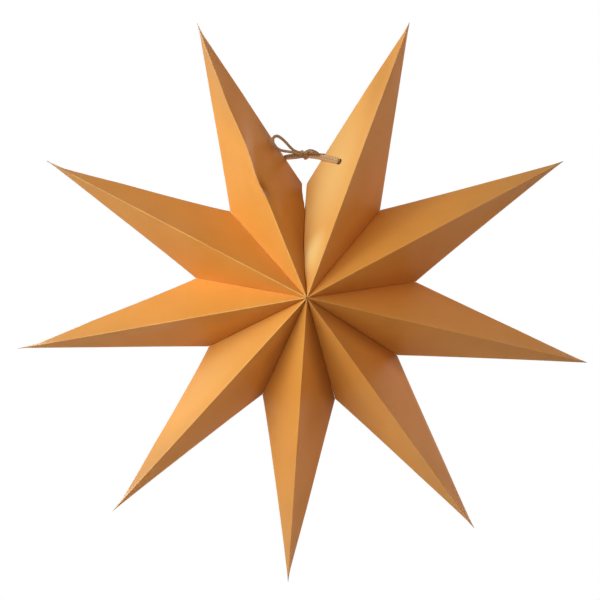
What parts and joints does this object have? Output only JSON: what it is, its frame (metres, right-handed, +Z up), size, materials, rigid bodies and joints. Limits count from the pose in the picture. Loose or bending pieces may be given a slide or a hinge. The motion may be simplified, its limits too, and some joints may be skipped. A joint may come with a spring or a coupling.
{
  "type": "origami star",
  "caption": "Large hollow star decoration, folded from gold-ochre card in separate points glued round a hub, its top slit tied shut with a flat cord.",
  "frame": {"origin": "middle of the hub, halfway between the front apex and the back apex", "axes": "+Z up, towards the tied slit; the front apex points to -Y; +X is to the right seen from the front"},
  "size_m": [0.5865, 0.18, 0.5799],
  "materials": {
    "card": "satin",
    "cord": "matte"
  },
  "bodies": {
    "root": {"arm_1": "card", "arm_2": "card", "arm_3": "card", "arm_4": "card", "arm_5": "card", "arm_6": "card", "arm_7": "card", "arm_8": "card", "arm_9": "card", "tie_cord": "cord"}
  },
  "joints": []
}
